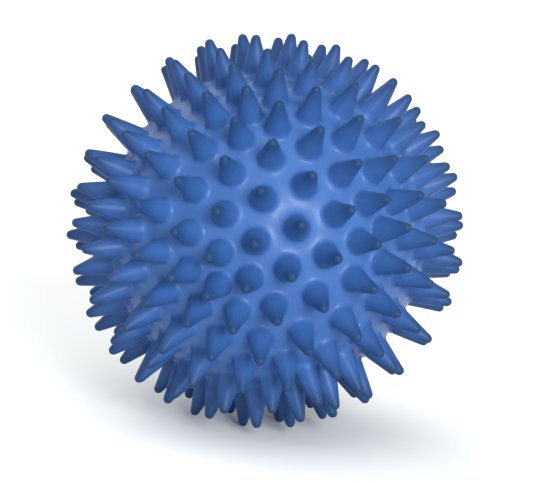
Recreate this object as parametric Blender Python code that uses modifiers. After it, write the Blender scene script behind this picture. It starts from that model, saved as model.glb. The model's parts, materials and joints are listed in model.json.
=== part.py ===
"""Spiky massage ball: a hollow one-piece PVC skin with 251 spikes, and its air valve.

Frame: metres, +Z up, origin at the centre of the ball. +Z is a three-fold axis of the
spike lattice, so the ball stands on exactly three spikes. The valve takes one spike's
place on the far side (+Y), and its axis points slightly up.
"""

from math import atan2, cos, pi, radians, sin, sqrt

import bmesh
import bpy
from mathutils import Matrix, Vector

# Driving dimensions, in metres
BALL_D = 0.090           # over the tips of two opposite spikes
CORE_R = 0.036           # outside of the wall, between the spikes
WALL = 0.0025
SPIKE_BASE_R = 0.0031
SPIKE_SHOULDER_R = 0.00125
SPIKE_TIP_R = 0.0006
TIP_ROUNDING = 0.0006    # height of the rounded end above the shoulder
GAP = 0.0003             # between pieces that touch on the real ball

# Spike lattice: an icosahedron whose edges are cut into equal parts
EDGE_CUTS = 4
LATTICE_TURN = radians(-54.0)
VALVE_AZIMUTH = radians(127.8)
VALVE_ELEVATION = radians(26.2)

# Valve, measured along its axis from the centre of the ball, or as radii about it
LAND_R = 0.0051          # flat land that carries the valve instead of a spike
LAND_DROP = 0.00015      # so that the land stays inside its cell
SKIN_BORE_R = 0.0042
FLANGE_R = 0.0070
FLANGE_THICK = 0.0015
FLANGE_GAP = 0.0004      # a little over GAP, because the inside of the wall is faceted
HOUSING_BODY_R = 0.0036
HOUSING_DEPTH = 0.0115   # from the land to the inner end
LIP_R = 0.0012           # hole in the lip that keeps the core in
LIP_THICK = 0.0008
RECESS_R = 0.0030        # seat of the stopper's head
RECESS_DEPTH = 0.0014
CORE_POCKET_R = 0.0026
NEEDLE_R = 0.0005        # needle channel through the core
SOCKET_DEPTH = 0.0048    # stem socket in the mouth of the core
STEM_R = 0.0011
STEM_BEAD_R = 0.0013
STEM_LENGTH = 0.0043
HEAD_THICK = 0.0015
EDGE = 0.0003            # chamfer on the turned edges

SHARP_ANGLE = radians(40.0)
BORE_SIDES = 48
TURN_STEPS = 32
SPHERE_SUBDIVISIONS = 4

SPIKE_HEIGHT = BALL_D / 2 - CORE_R
INNER_R = CORE_R - WALL
LAND_TOP = CORE_R - LAND_DROP


def clear_scene():
    for obj in list(bpy.data.objects):
        bpy.data.objects.remove(obj)


def collection(name):
    made = bpy.data.collections.new(name)
    bpy.context.scene.collection.children.link(made)
    return made


def material(name, colour, roughness):
    made = bpy.data.materials.new(name)
    made.use_nodes = True
    shader = made.node_tree.nodes["Principled BSDF"]
    shader.inputs["Base Color"].default_value = (*colour, 1.0)
    shader.inputs["Roughness"].default_value = roughness
    shader.inputs["Metallic"].default_value = 0.0
    return made


def add_object(name, mesh, group, parent=None):
    obj = bpy.data.objects.new(name, mesh)
    group.objects.link(obj)
    obj.parent = parent
    return obj


def as_cutter(obj):
    obj.hide_render = True
    obj.display_type = "WIRE"
    return obj


def cut(obj, cutter, name):
    boolean = obj.modifiers.new(name, "BOOLEAN")
    boolean.operation = "DIFFERENCE"
    boolean.solver = "EXACT"
    boolean.object = cutter


def direction(azimuth, elevation):
    flat = cos(elevation)
    return Vector((flat * cos(azimuth), flat * sin(azimuth), sin(elevation)))


def spike_lattice():
    """The sites and cells of the spikes, on the unit sphere: a bmesh of triangles."""
    lattice = bmesh.new()
    bmesh.ops.create_icosphere(lattice, subdivisions=1, radius=1.0)
    lattice.faces.ensure_lookup_table()
    first = lattice.faces[0]
    up = first.calc_center_median().normalized()
    corner = first.verts[0].co
    ahead = (corner - up * corner.dot(up)).normalized()
    stand_up = Matrix((ahead.cross(up), ahead, up)).to_4x4()
    turn = Matrix.Rotation(LATTICE_TURN, 4, "Z")
    bmesh.ops.transform(lattice, matrix=turn @ stand_up, verts=lattice.verts)
    bmesh.ops.subdivide_edges(
        lattice, edges=lattice.edges, cuts=EDGE_CUTS, use_grid_fill=True
    )
    for vert in lattice.verts:
        vert.co.normalize()
    return lattice


def cell_corners(site, corner_of):
    """The corners around one site, counter-clockwise as seen from outside."""
    axis = site.co.normalized()
    across = axis.orthogonal().normalized()
    along = axis.cross(across)
    corners = [corner_of[face.index] for face in site.link_faces]
    return sorted(corners, key=lambda c: atan2(c.co.dot(along), c.co.dot(across)))


def raise_ring(bm, face, axis, height, radius):
    """Extrudes a cell's face and sets its corners on a circle around the axis."""
    face = bmesh.ops.extrude_discrete_faces(bm, faces=[face])["faces"][0]
    for vert in face.verts:
        outward = (vert.co - axis * vert.co.dot(axis)).normalized()
        vert.co = axis * height + outward * radius
    return face


def skin_mesh(valve_axis):
    lattice = spike_lattice()
    lattice.faces.index_update()
    valve_site = max(lattice.verts, key=lambda site: site.co.dot(valve_axis))

    bm = bmesh.new()
    corner_of = {}
    for face in lattice.faces:
        corner = face.calc_center_median().normalized() * CORE_R
        corner_of[face.index] = bm.verts.new(corner)

    base_height = sqrt(CORE_R**2 - SPIKE_BASE_R**2)
    for site in lattice.verts:
        axis = site.co.copy()
        face = bm.faces.new(cell_corners(site, corner_of))
        if site is valve_site:
            raise_ring(bm, face, axis, LAND_TOP, LAND_R)
            continue
        face = raise_ring(bm, face, axis, base_height, SPIKE_BASE_R)
        shoulder = CORE_R + SPIKE_HEIGHT - TIP_ROUNDING
        face = raise_ring(bm, face, axis, shoulder, SPIKE_SHOULDER_R)
        raise_ring(bm, face, axis, CORE_R + SPIKE_HEIGHT, SPIKE_TIP_R)
    bmesh.ops.recalc_face_normals(bm, faces=bm.faces)

    valve_site_axis = valve_site.co.copy()
    mesh = bpy.data.meshes.new("spiked_skin")
    bm.to_mesh(mesh)
    bm.free()
    lattice.free()
    mesh.shade_smooth()
    mesh.set_sharp_from_angle(angle=SHARP_ANGLE)
    return mesh, valve_site_axis


def sphere_mesh(name, radius):
    bm = bmesh.new()
    bmesh.ops.create_icosphere(bm, subdivisions=SPHERE_SUBDIVISIONS, radius=radius)
    mesh = bpy.data.meshes.new(name)
    bm.to_mesh(mesh)
    bm.free()
    return mesh


def cylinder_mesh(name, radius, low, high):
    bm = bmesh.new()
    bmesh.ops.create_cone(
        bm,
        cap_ends=True,
        segments=BORE_SIDES,
        radius1=radius,
        radius2=radius,
        depth=high - low,
        matrix=Matrix.Translation((0.0, 0.0, (low + high) / 2)),
    )
    mesh = bpy.data.meshes.new(name)
    bm.to_mesh(mesh)
    bm.free()
    return mesh


def turned(name, profile, closed, group, parent):
    """A piece turned about local Z. The profile of (radius, height) runs down its outside."""
    bm = bmesh.new()
    verts = [bm.verts.new((radius, 0.0, height)) for radius, height in profile]
    for start, end in zip(verts, verts[1:]):
        bm.edges.new((start, end))
    if closed:
        bm.edges.new((verts[-1], verts[0]))
    mesh = bpy.data.meshes.new(name)
    bm.to_mesh(mesh)
    bm.free()
    obj = add_object(name, mesh, group, parent)
    screw = obj.modifiers.new("turn", "SCREW")
    screw.axis = "Z"
    screw.angle = 2 * pi
    screw.steps = TURN_STEPS
    screw.render_steps = TURN_STEPS
    screw.use_merge_vertices = True
    screw.merge_threshold = 0.00001
    screw.use_smooth_shade = True
    return obj


def on_sphere(radius, off_axis):
    return sqrt(radius**2 - off_axis**2)


def housing_profile():
    """Flanged bush: its flange lies against the inside of the wall, its collar fills the bore."""
    collar_r = SKIN_BORE_R - GAP
    top = LAND_TOP
    seat = top - RECESS_DEPTH
    bottom = top - HOUSING_DEPTH
    dome_r = INNER_R - FLANGE_GAP
    flange_edge = on_sphere(dome_r, FLANGE_R)
    flange_mid = (collar_r + FLANGE_R) / 2
    flange_under = flange_edge - FLANGE_THICK
    return [
        (RECESS_R + EDGE, top),
        (collar_r, top),
        (collar_r, on_sphere(dome_r, collar_r)),
        (flange_mid, on_sphere(dome_r, flange_mid)),
        (FLANGE_R, flange_edge),
        (FLANGE_R, flange_under + EDGE),
        (FLANGE_R - EDGE, flange_under),
        (HOUSING_BODY_R, flange_under),
        (HOUSING_BODY_R, bottom + EDGE),
        (HOUSING_BODY_R - EDGE, bottom),
        (LIP_R, bottom),
        (LIP_R, bottom + LIP_THICK),
        (CORE_POCKET_R, bottom + LIP_THICK),
        (CORE_POCKET_R, seat),
        (RECESS_R, seat),
        (RECESS_R, top - EDGE),
    ]


def core_profile():
    """Rubber core: a stem socket in its mouth, and a needle channel through the rest."""
    top = LAND_TOP - RECESS_DEPTH - GAP
    bottom = LAND_TOP - HOUSING_DEPTH + LIP_THICK + GAP
    outer = CORE_POCKET_R - GAP
    socket_r = STEM_BEAD_R + GAP
    socket_floor = top - SOCKET_DEPTH
    return [
        (outer - EDGE, top),
        (outer, top - EDGE),
        (outer, bottom + EDGE),
        (outer - EDGE, bottom),
        (NEEDLE_R, bottom),
        (NEEDLE_R, socket_floor - (socket_r - NEEDLE_R)),
        (socket_r, socket_floor),
        (socket_r, top),
    ]


def stopper_profile():
    """Pull-out stopper: a domed head, and a stem with one retaining bead."""
    under = LAND_TOP - RECESS_DEPTH + GAP
    head_r = RECESS_R - GAP
    end = under - STEM_LENGTH
    bead = (under + end) / 2
    return [
        (0.0, under + HEAD_THICK),
        (head_r - 3 * EDGE, under + HEAD_THICK - EDGE / 3),
        (head_r, under + HEAD_THICK - 2 * EDGE),
        (head_r, under + EDGE / 2),
        (head_r - EDGE / 2, under),
        (STEM_R, under),
        (STEM_R, bead + 2 * EDGE),
        (STEM_BEAD_R, bead),
        (STEM_R, bead - 2 * EDGE),
        (STEM_R, end + EDGE),
        (STEM_R - EDGE, end),
        (0.0, end),
    ]


def build():
    clear_scene()
    ball = collection("massage_ball")
    cutters = collection("cutters")

    blue_pvc = material("blue_pvc", (0.055, 0.145, 0.38), 0.42)
    valve_pvc = material("valve_pvc", (0.045, 0.115, 0.31), 0.45)
    valve_rubber = material("valve_rubber", (0.03, 0.03, 0.034), 0.7)
    stopper_plastic = material("stopper_plastic", (0.78, 0.79, 0.78), 0.5)

    wanted = direction(VALVE_AZIMUTH, VALVE_ELEVATION)
    skin_data, valve_axis = skin_mesh(wanted)

    axis_empty = bpy.data.objects.new("valve_axis", None)
    axis_empty.rotation_mode = "QUATERNION"
    axis_empty.rotation_quaternion = valve_axis.to_track_quat("Z", "Y")
    ball.objects.link(axis_empty)

    skin = add_object("spiked_skin", skin_data, ball)
    skin.data.materials.append(blue_pvc)
    hollow = as_cutter(
        add_object("hollow_cutter", sphere_mesh("hollow", INNER_R), cutters)
    )
    bore_data = cylinder_mesh("bore", SKIN_BORE_R, INNER_R - 2 * WALL, CORE_R + WALL)
    bore = as_cutter(add_object("bore_cutter", bore_data, cutters, axis_empty))
    cut(skin, hollow, "hollow")
    cut(skin, bore, "valve_bore")

    housing = turned("valve_housing", housing_profile(), True, ball, axis_empty)
    housing.data.materials.append(valve_pvc)
    core = turned("valve_core", core_profile(), True, ball, axis_empty)
    core.data.materials.append(valve_rubber)
    stopper = turned("valve_stopper", stopper_profile(), False, ball, axis_empty)
    stopper.data.materials.append(stopper_plastic)


build()
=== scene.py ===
import json
from math import cos, pi, radians, sin, sqrt

import bmesh
import bpy
from mathutils import Matrix, Quaternion, Vector


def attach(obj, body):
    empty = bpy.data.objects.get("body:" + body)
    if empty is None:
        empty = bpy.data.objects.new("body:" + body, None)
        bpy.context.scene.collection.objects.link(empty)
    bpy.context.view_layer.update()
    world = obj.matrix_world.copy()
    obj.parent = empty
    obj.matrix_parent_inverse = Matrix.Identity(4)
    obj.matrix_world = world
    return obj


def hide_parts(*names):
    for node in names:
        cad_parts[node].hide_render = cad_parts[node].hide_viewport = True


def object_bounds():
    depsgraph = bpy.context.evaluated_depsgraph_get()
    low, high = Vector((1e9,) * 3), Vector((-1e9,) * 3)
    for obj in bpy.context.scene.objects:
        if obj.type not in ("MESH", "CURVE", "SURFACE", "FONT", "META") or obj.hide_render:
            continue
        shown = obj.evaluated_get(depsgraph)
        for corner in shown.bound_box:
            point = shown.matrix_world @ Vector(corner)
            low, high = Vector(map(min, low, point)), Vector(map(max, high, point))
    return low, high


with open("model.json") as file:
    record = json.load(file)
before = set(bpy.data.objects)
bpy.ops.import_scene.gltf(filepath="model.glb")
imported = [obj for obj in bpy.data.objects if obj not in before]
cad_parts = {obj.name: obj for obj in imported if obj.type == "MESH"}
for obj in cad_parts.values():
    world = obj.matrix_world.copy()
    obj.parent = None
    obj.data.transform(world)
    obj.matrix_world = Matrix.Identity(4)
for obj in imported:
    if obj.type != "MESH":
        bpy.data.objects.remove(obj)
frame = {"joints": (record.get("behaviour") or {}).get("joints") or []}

CAD_LOW, CAD_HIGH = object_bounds()

# ---------------------------------------------------------------- sizes, in metres
TIP_REACH = max(CAD_HIGH)          # centre of the ball to the end of a spike
CORE_R = 0.8 * TIP_REACH           # outside of the wall, between the spikes
WALL = 0.0025
FOOT_R = 0.00295                   # a spike where it would meet the core
TIP_R = 0.00105                    # round end of a spike
FILLET = 0.0019                    # height of the curve between core and spike
FULLNESS = 1.14                    # over 1, the sides of a spike bulge a little
LENGTH_SPREAD = 0.008              # share by which spikes differ in length
LEAN = 0.00045                     # how far soft spikes lean, at the end
SPIKE_SEED = 7

EDGE_CUTS = 4
LATTICE_TURN = radians(-54.0)
ROUND_LEVELS = 2                   # each side of a cell becomes 4 sides of a spike
TIP_START = radians(17.0)          # where the round end takes over from the side

VALVE_AXIS = Vector(frame["joints"][0]["axis"]).normalized()
SAME_SITE = cos(radians(3.0))      # a site nearer than this to the valve's axis is its own
MERGE = 0.000002
WORKING_NAMES = ("axis", "ring", "lean", "reach", "valve")

# ---------------------------------------------------------------- valve, in metres
LAND_TOP = CORE_R - 0.00015
COLLAR_R = 0.0039
SEAM = 0.00008                     # the fine line between two pieces that touch
SKIN_BORE_R = COLLAR_R + SEAM
BORE_ROUNDING = 0.00015
FLANGE_R = 0.0070
FLANGE_THICK = 0.0015
FLANGE_FIT = 0.0001                # between the flange and the inside of the wall
BODY_R = 0.0036
BODY_END = LAND_TOP - 0.0115
LIP_R = 0.0012
LIP_THICK = 0.0008
RECESS_R = 0.0030
SEAT = LAND_TOP - 0.0014
POCKET_R = 0.0026
SOCKET_R = 0.0016
SOCKET_DEPTH = 0.0048
NEEDLE_R = 0.0005
HEAD_R = 0.0028
HEAD_TOP = SEAT + 0.0018
HEAD_DROP = 0.0004                 # from the middle of the domed head to its rim
CROWN_R = 0.0017
CROWN_DROP = 0.00006
DIMPLE_R = 0.0004                  # the mark of the moulding, in the middle of the head
DIMPLE_RIM_R = 0.00055
DIMPLE_DEPTH = 0.00012
STEM_R = 0.0011
BEAD_R = 0.0013
BEAD_HALF = 0.0006
STEM_END = SEAT - 0.0040

MOUTH_ROUNDING = 0.00028
RIM_ROUNDING = 0.00018
DIMPLE_ROUNDING = 0.00008
CROWN_ROUNDING = 0.0006
HEAD_ROUNDING = 0.00045
FINE = 0.0001                      # roundings of the other corners
SMALL = 0.0002
MEDIUM = 0.0003
LARGE = 0.0004
TURN_STEPS = 96
ROUNDING_STEPS = 5
SHARP = radians(38.0)

# ---------------------------------------------------------------- colours of the skin
PVC_DEEP = (0.0275, 0.083, 0.256)
PVC_PALE = (0.042, 0.118, 0.318)
# spikes darken towards their ends: partly their own darker tips, partly painted shade of
# their steep sides
SPIKE_BLUE_AND_SHADE = (0.002, 0.035, 0.150)
END_BLUE_AND_SHADE = (0.001, 0.014, 0.038)
END_START = 0.35                   # share of a spike's height where its end darkens

# ---------------------------------------------------------------- stage
VIEW_AZIMUTH = radians(21.0)       # the camera's side of the ball; 0 would be at -Y
CAMERA_ELEVATION = radians(10.0)
CAMERA_ROLL = radians(5.0)
CAMERA_DISTANCE = 0.75
SENSOR = 36.0
FILL = 0.7243                      # the ball's width as a share of the view's
AIM_RIGHT = 0.00215                # the view is aimed this far beside the ball's centre
AIM_DOWN = 0.00237
FLOOR_R = 9.0
ROOM_LIGHT = 0.44                  # from the walls behind the ball
FRONT_LIGHT = 0.38                 # what the walls on the camera's side add
LAMP_DISTANCE = 1.5
LAMPS = {                          # azimuth, elevation, strength, spread; in degrees
    "key": (20.0, 18.0, 4.0, 26.0),
    "top": (-30.0, 72.0, 0.9, 60.0),
    "back": (222.0, 38.0, 0.85, 50.0),
}


# ---------------------------------------------------------------- node expressions
class Value:
    """A node's output that can stand in a Python expression."""

    def __init__(self, graph, socket):
        self.graph = graph
        self.socket = socket

    def __getitem__(self, name):
        return Value(self.graph, find_socket(self.socket.node.outputs, name))

    def is_vector(self):
        return self.socket.type in ("VECTOR", "RGBA")

    def math(self, operation, *others):
        return self.graph.math(operation, self, *others)

    def __add__(self, other):
        return self.graph.math("ADD", self, other)

    def __radd__(self, other):
        return self.graph.math("ADD", other, self)

    def __sub__(self, other):
        return self.graph.math("SUBTRACT", self, other)

    def __rsub__(self, other):
        return self.graph.math("SUBTRACT", other, self)

    def __mul__(self, other):
        return self.graph.math("MULTIPLY", self, other)

    def __rmul__(self, other):
        return self.graph.math("MULTIPLY", other, self)

    def __truediv__(self, other):
        return self.graph.math("DIVIDE", self, other)

    def __rtruediv__(self, other):
        return self.graph.math("DIVIDE", other, self)

    def __pow__(self, other):
        return self.graph.math("POWER", self, other)

    def __lt__(self, other):
        return self.graph.math("LESS_THAN", self, other)

    def __gt__(self, other):
        return self.graph.math("GREATER_THAN", self, other)


def find_socket(sockets, key):
    """The socket in use with this name or number. Nodes keep several with one name."""
    if isinstance(key, int):
        return sockets[key]
    return next(s for s in sockets if s.name == key and s.enabled)


class Graph:
    """A node tree. Every node comes from its type, its settings and its inputs."""

    def __init__(self, tree):
        self.tree = tree

    def node(self, kind, settings=None, inputs=None):
        made = self.tree.nodes.new(kind)
        for name, value in (settings or {}).items():
            setattr(made, name, value)
        for key, value in (inputs or {}).items():
            self.fill(find_socket(made.inputs, key), value)
        shown = [s for s in made.outputs if s.enabled]
        return Value(self, shown[0]) if shown else made

    def fill(self, socket, value):
        if isinstance(value, (list, tuple)) and value and isinstance(value[0], Value):
            for one in value:
                self.tree.links.new(one.socket, socket)
        elif isinstance(value, Value):
            self.tree.links.new(value.socket, socket)
        elif socket.type == "VECTOR" and isinstance(value, (int, float)):
            socket.default_value = (value, value, value)
        elif socket.type == "RGBA" and len(value) == 3:
            socket.default_value = (*value, 1.0)
        else:
            socket.default_value = value

    def math(self, operation, *operands):
        vector = any(isinstance(o, Value) and o.is_vector() for o in operands)
        kind = "ShaderNodeVectorMath" if vector else "ShaderNodeMath"
        return self.node(kind, {"operation": operation}, dict(enumerate(operands)))

    def clamp(self, value, low=0.0, high=1.0):
        return self.node("ShaderNodeClamp", None, {"Value": value, "Min": low, "Max": high})

    def mix_colour(self, factor, low, high):
        return self.node(
            "ShaderNodeMix",
            {"data_type": "RGBA"},
            {"Factor": factor, "A": low, "B": high},
        )


# ---------------------------------------------------------------- skin
def lattice_object():
    """The sites of the spikes, on the unit sphere: an icosahedron with its edges cut."""
    bm = bmesh.new()
    bmesh.ops.create_icosphere(bm, subdivisions=1, radius=1.0)
    bm.faces.ensure_lookup_table()
    first = bm.faces[0]
    up = first.calc_center_median().normalized()
    corner = first.verts[0].co
    ahead = (corner - up * corner.dot(up)).normalized()
    stand_up = Matrix((ahead.cross(up), ahead, up)).to_4x4()
    turn = Matrix.Rotation(LATTICE_TURN, 4, "Z")
    bmesh.ops.transform(bm, matrix=turn @ stand_up, verts=bm.verts)
    bmesh.ops.subdivide_edges(bm, edges=bm.edges, cuts=EDGE_CUTS, use_grid_fill=True)
    for vert in bm.verts:
        vert.co.normalize()
    mesh = bpy.data.meshes.new("spike_sites")
    bm.to_mesh(mesh)
    bm.free()
    obj = bpy.data.objects.new("spike_sites", mesh)
    bpy.context.scene.collection.objects.link(obj)
    return obj


SKIN_INPUTS = {
    "Core radius": ("NodeSocketFloat", CORE_R),
    "Wall": ("NodeSocketFloat", WALL),
    "Tip reach": ("NodeSocketFloat", TIP_REACH),
    "Foot radius": ("NodeSocketFloat", FOOT_R),
    "Tip radius": ("NodeSocketFloat", TIP_R),
    "Fillet": ("NodeSocketFloat", FILLET),
    "Fullness": ("NodeSocketFloat", FULLNESS),
    "Length spread": ("NodeSocketFloat", LENGTH_SPREAD),
    "Lean": ("NodeSocketFloat", LEAN),
    "Seed": ("NodeSocketInt", SPIKE_SEED),
    "Valve axis": ("NodeSocketVector", VALVE_AXIS),
    "Land": ("NodeSocketFloat", LAND_TOP),
    "Bore radius": ("NodeSocketFloat", SKIN_BORE_R),
    "Bore rounding": ("NodeSocketFloat", BORE_ROUNDING),
}


class SkinGraph(Graph):
    """The Geometry Nodes tree of the skin: lattice in, closed hollow ball out."""

    def __init__(self):
        super().__init__(bpy.data.node_groups.new("spiked_skin", "GeometryNodeTree"))
        face = self.tree.interface
        face.new_socket("Geometry", in_out="INPUT", socket_type="NodeSocketGeometry")
        for name, (kind, _) in SKIN_INPUTS.items():
            face.new_socket(name, in_out="INPUT", socket_type=kind)
        face.new_socket("Skin", in_out="INPUT", socket_type="NodeSocketMaterial")
        face.new_socket("Geometry", in_out="OUTPUT", socket_type="NodeSocketGeometry")
        self.given = self.node("NodeGroupInput")

    def read(self, name, kind="FLOAT"):
        return self.node(
            "GeometryNodeInputNamedAttribute", {"data_type": kind}, {"Name": name}
        )

    def store(self, geometry, name, value, kind="FLOAT", where=True):
        return self.node(
            "GeometryNodeStoreNamedAttribute",
            {"data_type": kind, "domain": "POINT"},
            {"Geometry": geometry, "Selection": where, "Name": name, "Value": value},
        )

    def random(self, kind, low, high, seed):
        return self.node(
            "FunctionNodeRandomValue",
            {"data_type": kind},
            {"Min": low, "Max": high, "Seed": seed},
        )

    def extrude(self, geometry, where, ring):
        """Raises new faces in place, each with its own corners, marked with their ring."""
        made = self.node(
            "GeometryNodeExtrudeMesh",
            {"mode": "FACES"},
            {"Mesh": geometry, "Selection": where, "Offset Scale": 0.0, "Individual": True},
        )
        top = made["Top"]
        return self.store(made, "ring", ring, where=top), top

    def delete(self, geometry, where):
        return self.node(
            "GeometryNodeDeleteGeometry",
            {"domain": "FACE"},
            {"Geometry": geometry, "Selection": where},
        )

    def subdivide(self, geometry):
        return self.node(
            "GeometryNodeSubdivideMesh", None, {"Mesh": geometry, "Level": ROUND_LEVELS}
        )

    def set_position(self, geometry, position):
        return self.node(
            "GeometryNodeSetPosition", None, {"Geometry": geometry, "Position": position}
        )

    def switch(self, condition, no, yes):
        return self.node(
            "GeometryNodeSwitch",
            {"input_type": "VECTOR"},
            {"Switch": condition, "False": no, "True": yes},
        )


def skin_cells(g):
    """One flat cell for each spike, with its axis and its own random values on the face."""
    position = g.node("GeometryNodeInputPosition")
    axis = position.math("NORMALIZE")
    seed = g.given["Seed"]
    cells = g.store(g.given["Geometry"], "axis", axis, "FLOAT_VECTOR")
    stretch = g.random("FLOAT", -1.0, 1.0, seed) * g.given["Length spread"] + 1.0
    cells = g.store(cells, "reach", stretch * g.given["Tip reach"])
    lean = g.random("FLOAT_VECTOR", (-1, -1, -1), (1, 1, 1), seed + 1) * g.given["Lean"]
    cells = g.store(cells, "lean", lean, "FLOAT_VECTOR")
    is_valve = axis.math("DOT_PRODUCT", g.given["Valve axis"]) > SAME_SITE
    cells = g.store(cells, "valve", is_valve)
    cells = g.node("GeometryNodeDualMesh", None, {"Mesh": cells})
    return g.store(cells, "ring", 0.0)


def skin_frame(g):
    """Fields that say where a point is in its cell: axis, direction outwards, ring."""
    position = g.node("GeometryNodeInputPosition")
    axis = g.read("axis", "FLOAT_VECTOR").math("NORMALIZE")
    outward = (position - axis * position.math("DOT_PRODUCT", axis)).math("NORMALIZE")

    def place(radius, height):
        return axis * height + outward * radius

    return position.math("NORMALIZE"), axis, place, g.read("ring")


def leg(radius, off_axis):
    """Height of a point of a sphere at this distance from the axis. Takes Values too."""
    return (radius * radius - off_axis * off_axis) ** 0.5


def skin_outside(g, cells):
    """Raises three rings in each cell, makes them round, and puts them on the profile."""
    solid, top = g.extrude(cells, True, 1.0)
    solid, top = g.extrude(solid, top, 2.0)
    solid, top = g.extrude(solid, top, 3.0)
    solid = g.subdivide(g.delete(solid, top))

    ray, axis, place, ring = skin_frame(g)
    first = g.clamp(ring)
    second = g.clamp(ring - 1.0)
    third = g.clamp(ring - 2.0)
    core, foot, tip = (g.given[n] for n in ("Core radius", "Foot radius", "Tip radius"))
    edge = ray * core
    reach = g.read("reach")

    # a spike: curve up from the valley, side, round end
    base = leg(core, foot)
    shoulder = reach - tip * (1 - sin(TIP_START))
    shoulder_r = tip * cos(TIP_START)

    def side(height):
        share = g.clamp((height - base) / (shoulder - base))
        radius = foot + (shoulder_r - foot) * share ** g.given["Fullness"]
        return place(radius, height)

    curve_top = base + g.given["Fillet"]
    back = 1.0 - first
    valley = edge * back ** 3.0 + place(foot, base) * (first * back * 3.0)
    valley = valley + side(curve_top) * first ** 3.0
    wall = side(curve_top + (shoulder - curve_top) * second)
    turn = third * (pi / 2 - TIP_START) + TIP_START
    cap = place(tip * turn.math("COSINE"), reach - tip + tip * turn.math("SINE"))
    spike = g.switch(ring > 1.0, valley, g.switch(ring > 2.0, wall, cap))
    bare = g.read("lean", "FLOAT_VECTOR")
    lean = bare - axis * bare.math("DOT_PRODUCT", axis)
    risen = g.clamp((spike.math("DOT_PRODUCT", axis) - base) / (reach - base))
    spike = spike + lean * (risen * risen)

    # the valve's place: flat land, rounded edge, bore
    land, bore, rounding = (g.given[n] for n in ("Land", "Bore radius", "Bore rounding"))
    inner = core - g.given["Wall"]
    rim = place(bore + rounding, land)
    flat = edge + (rim - edge) * first
    bend = second * (pi / 2)
    lip = place(
        bore + rounding - rounding * bend.math("SINE"),
        land - rounding + rounding * bend.math("COSINE"),
    )
    start = land - rounding
    hole = place(bore, start + (leg(inner, bore) - start) * third)
    valve = g.switch(ring > 1.0, flat, g.switch(ring > 2.0, lip, hole))

    where = g.switch(g.read("valve") > 0.5, spike, valve)
    solid = g.store(solid, "height", risen * (1.0 - g.read("valve")))
    return g.set_position(solid, where)


def skin_inside(g, cells):
    """The inside of the wall, with a hole that meets the bore."""
    shell, top = g.extrude(cells, g.read("valve") > 0.5, 1.0)
    shell = g.subdivide(g.delete(shell, top))
    ray, _, place, ring = skin_frame(g)
    inner = g.given["Core radius"] - g.given["Wall"]
    bore = g.given["Bore radius"]
    edge = ray * inner
    rim = place(bore, leg(inner, bore))
    shell = g.store(shell, "height", 0.0)
    shell = g.set_position(shell, edge + (rim - edge) * ring)
    return g.node("GeometryNodeFlipFaces", None, {"Mesh": shell})


def skin_tree():
    g = SkinGraph()
    cells = skin_cells(g)
    both = [skin_outside(g, cells), skin_inside(g, cells)]
    skin = g.node("GeometryNodeJoinGeometry", None, {"Geometry": both})
    skin = g.node("GeometryNodeMergeByDistance", None, {"Geometry": skin, "Distance": MERGE})
    skin = g.node("GeometryNodeSetShadeSmooth", None, {"Geometry": skin})
    skin = g.node("GeometryNodeRealizeInstances", None, {"Geometry": skin})
    skin = g.node(
        "GeometryNodeSetMaterial", None, {"Geometry": skin, "Material": g.given["Skin"]}
    )
    g.node("NodeGroupOutput", None, {"Geometry": skin})
    return g.tree


def plain_mesh(obj, name):
    """The evaluated object as a plain mesh object at the origin; obj goes."""
    graph = bpy.context.evaluated_depsgraph_get()
    mesh = bpy.data.meshes.new_from_object(obj.evaluated_get(graph))
    mesh.name = name
    mesh.transform(obj.matrix_world)
    for attribute in list(mesh.attributes):
        if attribute.name in WORKING_NAMES:
            mesh.attributes.remove(attribute)
    made = bpy.data.objects.new(name, mesh)
    bpy.context.scene.collection.objects.link(made)
    bpy.data.objects.remove(obj)
    return made


def make_skin(material):
    lattice = lattice_object()
    tree = skin_tree()
    modifier = lattice.modifiers.new("spikes", "NODES")
    modifier.node_group = tree
    values = {name: value for name, (_, value) in SKIN_INPUTS.items()}
    values["Skin"] = material
    for item in tree.interface.items_tree:
        if item.in_out == "INPUT" and item.name in values:
            modifier[item.identifier] = values[item.name]
    skin = plain_mesh(lattice, "ball_skin")
    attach(skin, "ball")
    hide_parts("spiked_skin")


# ---------------------------------------------------------------- valve
def rounded(corners):
    """Points of an outline. Each corner is (radius, height, size of its rounding)."""
    points = []
    count = len(corners)
    for index, (x, y, size) in enumerate(corners):
        here = Vector((x, y))
        if not size:
            points.append(here)
            continue
        start = Vector(corners[index - 1][:2]) - here
        end = Vector(corners[(index + 1) % count][:2]) - here
        start = start.normalized() * size
        end = end.normalized() * size
        for step in range(ROUNDING_STEPS + 1):
            t = step / ROUNDING_STEPS
            points.append(here + start * (1 - t) ** 2 + end * t**2)
    return points


def housing_outline():
    """Flanged bush: its collar fills the bore, its flange lies inside the wall."""
    inside = CORE_R - WALL - FLANGE_FIT
    flange = leg(inside, FLANGE_R)
    middle = (COLLAR_R + FLANGE_R) / 2
    under = flange - FLANGE_THICK
    return [
        (RECESS_R, LAND_TOP, MOUTH_ROUNDING),
        (COLLAR_R, LAND_TOP, RIM_ROUNDING),
        (COLLAR_R, leg(inside, COLLAR_R), 0.0),
        (middle, leg(inside, middle), 0.0),
        (FLANGE_R, flange, SMALL),
        (FLANGE_R, under, LARGE),
        (BODY_R, under, MEDIUM),
        (BODY_R, BODY_END, LARGE),
        (LIP_R, BODY_END, FINE),
        (LIP_R, BODY_END + LIP_THICK, FINE),
        (POCKET_R, BODY_END + LIP_THICK, 0.0),
        (POCKET_R, SEAT, FINE),
        (RECESS_R, SEAT, FINE),
    ]


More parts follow.
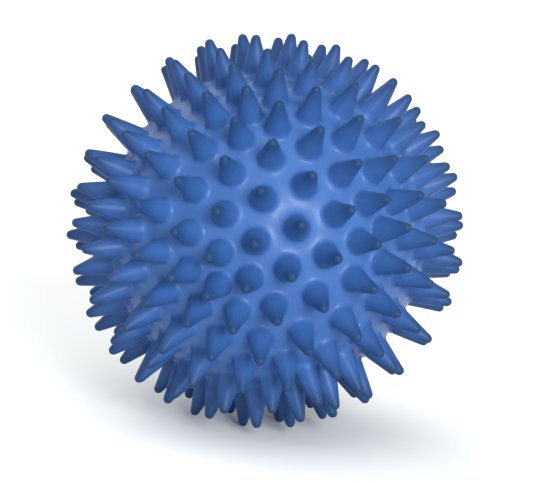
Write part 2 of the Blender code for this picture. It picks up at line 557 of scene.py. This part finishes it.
def core_outline():
    """Rubber core: a socket for the stem in its mouth, a needle channel below."""
    top = SEAT - SEAM
    outer = POCKET_R - SEAM
    floor = top - SOCKET_DEPTH
    bottom = BODY_END + LIP_THICK + SEAM
    return [
        (SOCKET_R, top, SMALL),
        (outer, top, MEDIUM),
        (outer, bottom, MEDIUM),
        (NEEDLE_R, bottom, FINE),
        (NEEDLE_R, floor - (SOCKET_R - NEEDLE_R), FINE),
        (SOCKET_R, floor, SMALL),
    ]


def stopper_outline():
    """Stopper: a domed head with the mark of its moulding, and a stem with one bead."""
    under = SEAT + SEAM
    bead = (under + STEM_END) / 2
    return [
        (0.0, HEAD_TOP - DIMPLE_DEPTH, 0.0),
        (DIMPLE_R, HEAD_TOP - DIMPLE_DEPTH, DIMPLE_ROUNDING),
        (DIMPLE_RIM_R, HEAD_TOP, DIMPLE_ROUNDING),
        (CROWN_R, HEAD_TOP - CROWN_DROP, CROWN_ROUNDING),
        (HEAD_R, HEAD_TOP - HEAD_DROP, HEAD_ROUNDING),
        (HEAD_R, under, SMALL),
        (STEM_R, under, FINE),
        (STEM_R, bead + BEAD_HALF, SMALL),
        (BEAD_R, bead, MEDIUM),
        (STEM_R, bead - BEAD_HALF, SMALL),
        (STEM_R, STEM_END, LARGE),
        (0.0, STEM_END, 0.0),
    ]


def turned(name, outline, on_axis, material):
    """A piece turned about the valve's axis. on_axis: its outline ends on that axis."""
    bm = bmesh.new()
    verts = [bm.verts.new((p.x, 0.0, p.y)) for p in rounded(outline)]
    ends = verts[1:] if on_axis else verts[1:] + verts[:1]
    edges = [bm.edges.new(pair) for pair in zip(verts, ends)]
    bmesh.ops.spin(
        bm,
        geom=verts + edges,
        cent=(0.0, 0.0, 0.0),
        axis=(0.0, 0.0, 1.0),
        angle=2 * pi,
        steps=TURN_STEPS,
    )
    bmesh.ops.remove_doubles(bm, verts=bm.verts, dist=MERGE)
    bmesh.ops.recalc_face_normals(bm, faces=bm.faces)
    bmesh.ops.transform(
        bm, matrix=VALVE_AXIS.to_track_quat("Z", "Y").to_matrix().to_4x4(), verts=bm.verts
    )
    mesh = bpy.data.meshes.new(name)
    bm.to_mesh(mesh)
    bm.free()
    mesh.shade_smooth()
    mesh.set_sharp_from_angle(angle=SHARP)
    mesh.materials.append(material)
    obj = bpy.data.objects.new(name, mesh)
    bpy.context.scene.collection.objects.link(obj)
    return obj


def make_valve():
    bush = turned("valve_bush", housing_outline(), False, valve_pvc())
    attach(bush, "ball")
    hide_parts("valve_housing")

    core = turned("valve_rubber_core", core_outline(), False, valve_rubber())
    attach(core, "ball")
    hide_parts("valve_core")

    stopper = turned("pull_out_stopper", stopper_outline(), True, stopper_plastic())
    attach(stopper, "stopper")
    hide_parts("valve_stopper")


# ---------------------------------------------------------------- materials
def new_material(name):
    material = bpy.data.materials.new(name)
    material.use_nodes = True
    material.node_tree.nodes.clear()
    return material, Graph(material.node_tree)


def finish_material(g, inputs, bump=None):
    """A Principled BSDF with these inputs. bump is a height and its distance in metres."""
    inputs = dict(inputs)
    if bump:
        height, distance = bump
        inputs["Normal"] = g.node(
            "ShaderNodeBump", None, {"Height": height, "Distance": distance, "Strength": 1.0}
        )
    shader = g.node("ShaderNodeBsdfPrincipled", None, inputs)
    g.node("ShaderNodeOutputMaterial", None, {"Surface": shader})


def noise(g, scale, detail=2.0, roughness=0.5, stretch=(1.0, 1.0, 1.0)):
    where = g.node("ShaderNodeTexCoord")["Object"] * stretch
    return g.node(
        "ShaderNodeTexNoise",
        None,
        {"Vector": where, "Scale": scale, "Detail": detail, "Roughness": roughness},
    )


def blue_pvc():
    """Soft blue PVC: cloudy pigment, satin mould grain, and spikes darker towards their
    ends, partly their own darker tips and partly painted shade of their steep sides.
    """
    material, g = new_material("blue_pvc")
    cloud = noise(g, 48.0, 3.0)
    speck = noise(g, 850.0, 2.0)
    grain = noise(g, 2200.0, 2.0, 0.6)
    dents = noise(g, 380.0, 2.0)
    height = g.node("ShaderNodeAttribute", {"attribute_name": "height"})["Fac"]
    tone = g.clamp(cloud * 1.4 - 0.2) * 0.7 + speck * 0.3
    colour = g.mix_colour(tone, PVC_DEEP, PVC_PALE)
    # painted shade: the spikes darken with height, partly their own darker tips and partly
    # the shade of their steep sides seen end-on
    colour = g.mix_colour(height**0.9 * 0.62, colour, SPIKE_BLUE_AND_SHADE)
    end = g.clamp((height - END_START) / (1.0 - END_START)) ** 1.5
    colour = g.mix_colour(end * 0.66, colour, END_BLUE_AND_SHADE)
    roughness = 0.37 + (speck - 0.5) * 0.14 + height * 0.16
    finish_material(
        g,
        {
            "Base Color": colour,
            "Roughness": roughness,
            "Specular IOR Level": 0.21,
            "Subsurface Weight": 0.08,
            "Subsurface Radius": (0.2, 0.45, 1.0),
            "Subsurface Scale": 0.0010,
        },
        (grain * 0.4 + dents * 0.6, 0.00009),
    )
    return material


def valve_pvc():
    """The bush that is bonded into the skin: the same PVC, denser and smoother."""
    material, g = new_material("valve_pvc")
    cloud = noise(g, 160.0, 3.0)
    grain = noise(g, 3200.0, 2.0)
    tone = g.clamp(cloud * 1.6 - 0.3)
    colour = g.mix_colour(tone, (0.022, 0.066, 0.20), (0.034, 0.094, 0.27))
    finish_material(
        g,
        {"Base Color": colour, "Roughness": 0.36 + cloud * 0.12, "Specular IOR Level": 0.45},
        (grain, 0.00002),
    )
    return material


def valve_rubber():
    """Black rubber with a dusty bloom."""
    material, g = new_material("valve_rubber")
    bloom = noise(g, 420.0, 4.0, 0.65)
    grain = noise(g, 2400.0, 3.0)
    dust = g.clamp(bloom * 2.0 - 0.6)
    colour = g.mix_colour(dust, (0.016, 0.016, 0.018), (0.042, 0.042, 0.046))
    finish_material(
        g, {"Base Color": colour, "Roughness": 0.6 + bloom * 0.25}, (grain, 0.00004)
    )
    return material


def stopper_plastic():
    """Milky plastic, faintly marbled by the moulding, with fine scratches from use."""
    material, g = new_material("stopper_plastic")
    marble = noise(g, 240.0, 3.0)
    scratch = noise(g, 900.0, 3.0, 0.7, (1.0, 1.0, 9.0))
    grain = noise(g, 2800.0, 2.0)
    colour = g.mix_colour(marble, (0.70, 0.71, 0.68), (0.84, 0.85, 0.83))
    scuffed = g.clamp(scratch * 5.0 - 2.6)
    finish_material(
        g,
        {
            "Base Color": colour,
            "Roughness": 0.34 + scuffed * 0.2,
            "Subsurface Weight": 0.25,
            "Subsurface Radius": (1.0, 0.95, 0.9),
            "Subsurface Scale": 0.0008,
        },
        (grain * 0.6 + scuffed * 0.4, 0.00002),
    )
    return material


# ---------------------------------------------------------------- stage
def flat_material(name, colour, roughness):
    material, g = new_material(name)
    finish_material(g, {"Base Color": colour, "Roughness": roughness})
    return material


def make_floor(height):
    bm = bmesh.new()
    bmesh.ops.create_circle(bm, cap_ends=True, segments=96, radius=FLOOR_R)
    mesh = bpy.data.meshes.new("floor")
    bm.to_mesh(mesh)
    bm.free()
    floor = bpy.data.objects.new("floor", mesh)
    floor.location.z = height
    mesh.materials.append(flat_material("floor_white", (0.86, 0.87, 0.86), 0.8))
    bpy.context.scene.collection.objects.link(floor)


def make_world():
    """White walls all round, brighter on the camera's side than behind the ball."""
    world = bpy.data.worlds.new("studio")
    world.use_nodes = True
    world.node_tree.nodes.clear()
    g = Graph(world.node_tree)
    ray = g.node("ShaderNodeTexCoord")["Generated"]
    front = ray.math("DOT_PRODUCT", around(0.0, radians(30.0), 1.0)) * 0.5 + 0.5
    back = g.node(
        "ShaderNodeBackground",
        None,
        {"Color": (0.97, 0.99, 1.0), "Strength": ROOM_LIGHT + front * FRONT_LIGHT},
    )
    g.node("ShaderNodeOutputWorld", None, {"Surface": back})
    bpy.context.scene.world = world


def look(obj, place, target):
    obj.location = place
    obj.rotation_mode = "QUATERNION"
    obj.rotation_quaternion = (target - place).to_track_quat("-Z", "Y")


def around(azimuth, elevation, distance):
    """A place round the ball. Azimuth 0 is on the camera's side, 90 on its right."""
    flat = cos(elevation) * distance
    turn = azimuth + VIEW_AZIMUTH
    return Vector((flat * sin(turn), -flat * cos(turn), distance * sin(elevation)))


def make_lamp(name, azimuth, elevation, strength, spread):
    data = bpy.data.lights.new(name, "SUN")
    data.energy = strength
    data.angle = radians(spread)
    light = bpy.data.objects.new(name, data)
    look(light, around(radians(azimuth), radians(elevation), LAMP_DISTANCE), Vector())
    bpy.context.scene.collection.objects.link(light)


def make_camera():
    data = bpy.data.cameras.new("camera")
    # the view's half width, at one metre, for a ball of this reach to fill its share
    half_width = TIP_REACH / sqrt(CAMERA_DISTANCE**2 - TIP_REACH**2) / FILL
    data.sensor_width = SENSOR
    data.lens = SENSOR / 2 / half_width
    camera = bpy.data.objects.new("camera", data)
    place = around(0.0, CAMERA_ELEVATION, CAMERA_DISTANCE)
    aim = around(pi / 2, 0.0, AIM_RIGHT) - Vector((0.0, 0.0, AIM_DOWN))
    look(camera, place + aim, aim)
    camera.rotation_quaternion @= Quaternion((0.0, 0.0, 1.0), CAMERA_ROLL)
    bpy.context.scene.collection.objects.link(camera)
    bpy.context.scene.camera = camera


def main():
    bpy.context.scene.view_settings.view_transform = "Standard"
    make_skin(blue_pvc())
    make_valve()
    low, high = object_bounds()
    make_floor(low.z)
    make_world()
    for name, values in LAMPS.items():
        make_lamp(name, *values)
    make_camera()


main()
